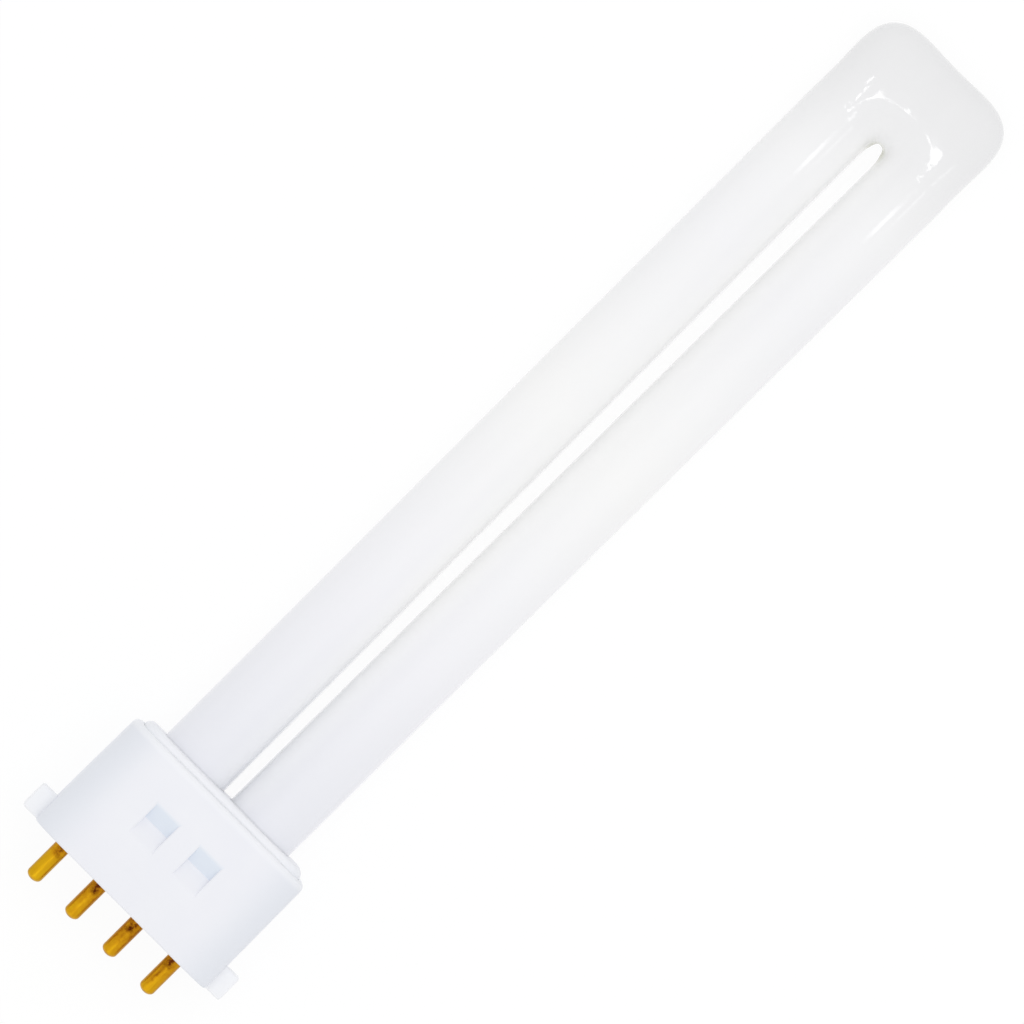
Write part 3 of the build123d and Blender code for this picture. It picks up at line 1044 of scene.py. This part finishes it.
def scorched(x, lateral, z, marks):
    """How scorched a pin is at a point in millimetres."""
    patch, tail, aside, strength, haze = marks
    dark = stripe(lateral - aside, PATCH_WIDTH) * ramp(z, patch - PATCH_BELOW, patch + PATCH_ABOVE)
    trail = TAIL_DARK * stripe(x, TAIL_WIDTH) * ramp(z, tail, tail + TAIL_FADE)
    collar = COLLAR_DARK * ramp(z, COLLAR_FROM, COLLAR_TO)
    fading = haze * (HAZE_LEAST + (1 - HAZE_LEAST) * ramp(z, HAZE_FROM, HAZE_TO))
    return max(fading, strength * max(dark, trail, collar))


def tarnished_and_shaded(lateral, z):
    """How tarnished a pin is at its tip, and how much painted shade its sides get, at a point in
    millimetres.
    """
    blunt = ramp(-z, PIN_LENGTH - TIP_TARNISH, PIN_LENGTH)
    sides = sum(much * ramp(abs(lateral), start, end) for much, start, end in SIDE_SHADE)
    return max(blunt, sides)


dents = [round(scorched(0, 0, CRIMP_MIDDLE, marks), 2) for marks in SCORCHES]
print("scorch in the dents:", dents, "tarnish of the sides:", tarnished_and_shaded(PIN_RADIUS, 0))

# %% Mark the pins and lay them down
# The crimps fan out from the middle of the row by as many degrees.
CRIMP_FAN = 18
for number, copy in enumerate(pins):
    row = pin_places[-1] - pin_places[0]
    turn = math.radians(-2 * CRIMP_FAN * pin_places[number] / row)
    scorch = copy.data.attributes.new("scorch", "FLOAT", "POINT")
    tarnish_and_shade = copy.data.attributes.new("tarnish_and_shade", "FLOAT", "POINT")
    for point in copy.data.vertices:
        x, y, z = point.co / MM
        lateral = x * math.cos(turn) - y * math.sin(turn)
        scorch.data[point.index].value = scorched(x, lateral, z, SCORCHES[number])
        tarnish_and_shade.data[point.index].value = tarnished_and_shaded(lateral, z)
    in_row = Matrix.Translation((pin_places[number] * MM, 0, 0))
    copy.matrix_world = in_row @ Matrix.Rotation(turn, 4, "Z")
    choose(copy)
    bpy.ops.object.transform_apply(location=True, rotation=True)
    lay_down(copy, "pin_brass", f"contact_pin_{number + 1}")

# %% [markdown]
# ## Brass
# The pins are drawn brass, bright but handled: a golden metal whose tone wanders between yellow and
# amber, in streaks along the draw. Tarnish at the tip, and painted shade on the sides, turn it
# olive. Heat tints it from orange to brown and dulls it, in blotches. A metal takes its colour from
# its reflections, so the colour below is that of the mirror.

# %% Drawn brass
BRASS_TONES = ((0.3, "#D9A31A"), (0.5, "#E9B61C"), (0.72, "#F2C31E"))
TARNISH_AND_SHADE_COLOUR = "#AC8312"
STREAK_WIDTH, STREAK_LENGTH, STREAK_HEIGHT = 0.35, 2.4, 0.004
STREAK_ROUGHNESS = 0.55
brass, tree = new_material("drawn_brass")
place = add(tree, "TexCoord").outputs["Object"]
stretch = (STREAK_WIDTH / STREAK_LENGTH, 1, 1)
drawn = add(tree, "Mapping", {"Vector": place, "Scale": stretch}).outputs["Vector"]
streaks = add(
    tree,
    "TexNoise",
    {
        "Vector": drawn,
        "Scale": fineness(STREAK_WIDTH),
        "Detail": 3.0,
        "Roughness": STREAK_ROUGHNESS,
    },
).outputs["Fac"]
golden = add(tree, "ValToRGB", {"Fac": streaks}, BRASS_TONES).outputs["Color"]
# Painted shade: this attribute darkens the sides of each pin towards olive and leaves a painted
# highlight down the middle; at the tip it is tarnish.
tarnish_and_shade = add(tree, "Attribute", attribute_name="tarnish_and_shade").outputs["Fac"]
dark = colour(TARNISH_AND_SHADE_COLOUR)
olive = add(tree, "MixRGB", {"Fac": tarnish_and_shade, "Color1": golden, "Color2": dark}).outputs["Color"]
lines = add(
    tree, "Bump", {"Height": streaks, "Distance": STREAK_HEIGHT * MM, "Strength": 1.0}
).outputs["Normal"]
print("brass in streaks of", STREAK_WIDTH, "by", STREAK_LENGTH, "mm")

# %% Heat tints on the brass
HEAT_TONES = ((0.0, "#C85F0F"), (1.0, "#642D0E"))
BRIGHT_ROUGHNESS, SCORCHED_ROUGHNESS = 0.27, 0.5
BLOTCH_SIZE, BLOTCH_DEPTH = 0.5, 0.35
# The heat took unevenly, so the marks are blotchy.
marked = add(tree, "Attribute", attribute_name="scorch").outputs["Fac"]
blotches = add(
    tree, "TexNoise", {"Vector": place, "Scale": fineness(BLOTCH_SIZE), "Detail": 2.0}
).outputs["Fac"]
uneven = add(
    tree,
    "MapRange",
    {"Value": blotches, **NOISE_RANGE, "To Min": 1 - BLOTCH_DEPTH, "To Max": 1 + BLOTCH_DEPTH},
).outputs["Result"]
scorch = add(
    tree, "Math", {0: marked, 1: uneven}, operation="MULTIPLY", use_clamp=True
).outputs["Value"]
heat = add(tree, "ValToRGB", {"Fac": scorch}, HEAT_TONES).outputs["Color"]
toned = add(tree, "MixRGB", {"Fac": scorch, "Color1": olive, "Color2": heat}).outputs["Color"]
dull = add(
    tree, "MapRange", {"Value": scorch, "To Min": BRIGHT_ROUGHNESS, "To Max": SCORCHED_ROUGHNESS}
).outputs["Result"]
shader = add(
    tree,
    "BsdfPrincipled",
    {"Base Color": toned, "Metallic": 1.0, "Roughness": dull, "Normal": lines},
)
add(tree, "OutputMaterial", {"Surface": shader.outputs[0]})
for copy in pins:
    dress(copy, brass)
print(brass.name, "on", [copy.name for copy in pins])

# %% [markdown]
# ## Inside the cap
# Two finishes are out of sight in the whole lamp. Basing cement is a baked paste of mineral powder
# and resin: matt, gritty and off-white. The lead wires are drawn from a nickel-iron alloy, grey
# with a dull shine and darker patches of oxide. The solids' shapes are right for both, so only
# their finishes are made.

# %% Basing cement
CEMENT_TONES = ((0.35, "#B7AE9C"), (0.65, "#D9D2C3"))
CEMENT_ROUGHNESS, CEMENT_IOR = 0.9, 1.5
GRIT_SIZE, GRIT_HEIGHT = 0.6, 0.08
cement, tree = new_material("baked_basing_cement")
place = add(tree, "TexCoord").outputs["Object"]
grit = add(
    tree, "TexNoise", {"Vector": place, "Scale": fineness(GRIT_SIZE), "Detail": 4.0}
).outputs["Fac"]
chalk = add(tree, "ValToRGB", {"Fac": grit}, CEMENT_TONES).outputs["Color"]
crumbs = add(
    tree, "Bump", {"Height": grit, "Distance": GRIT_HEIGHT * MM, "Strength": 1.0}
).outputs["Normal"]
shader = add(
    tree,
    "BsdfPrincipled",
    {"Base Color": chalk, "Roughness": CEMENT_ROUGHNESS, "IOR": CEMENT_IOR, "Normal": crumbs},
)
add(tree, "OutputMaterial", {"Surface": shader.outputs[0]})
dress(frame["nodes"]["basing_cement"], cement)
print(cement.name, "on basing_cement")

# %% Lead wire
OXIDE_FROM, OXIDE_TO = 0.4, 0.62
WIRE_TONES = ((OXIDE_FROM, "#87827A"), (OXIDE_TO, "#A7A29A"))
OXIDE_ROUGHNESS, WIRE_ROUGHNESS = 0.55, 0.32
OXIDE_SIZE = 0.8
lead_wire, tree = new_material("drawn_nickel_iron_wire")
place = add(tree, "TexCoord").outputs["Object"]
patches = add(
    tree, "TexNoise", {"Vector": place, "Scale": fineness(OXIDE_SIZE), "Detail": 3.0}
).outputs["Fac"]
skin = add(tree, "ValToRGB", {"Fac": patches}, WIRE_TONES).outputs["Color"]
sheen = add(
    tree,
    "MapRange",
    {
        "Value": patches,
        "From Min": OXIDE_FROM,
        "From Max": OXIDE_TO,
        "To Min": OXIDE_ROUGHNESS,
        "To Max": WIRE_ROUGHNESS,
    },
).outputs["Result"]
shader = add(tree, "BsdfPrincipled", {"Base Color": skin, "Metallic": 1.0, "Roughness": sheen})
add(tree, "OutputMaterial", {"Surface": shader.outputs[0]})
wires = [node for name, node in frame["nodes"].items() if name.startswith("lead_wire")]
for node in wires:
    dress(node, lead_wire)
print(lead_wire.name, "on", len(wires), "wires")
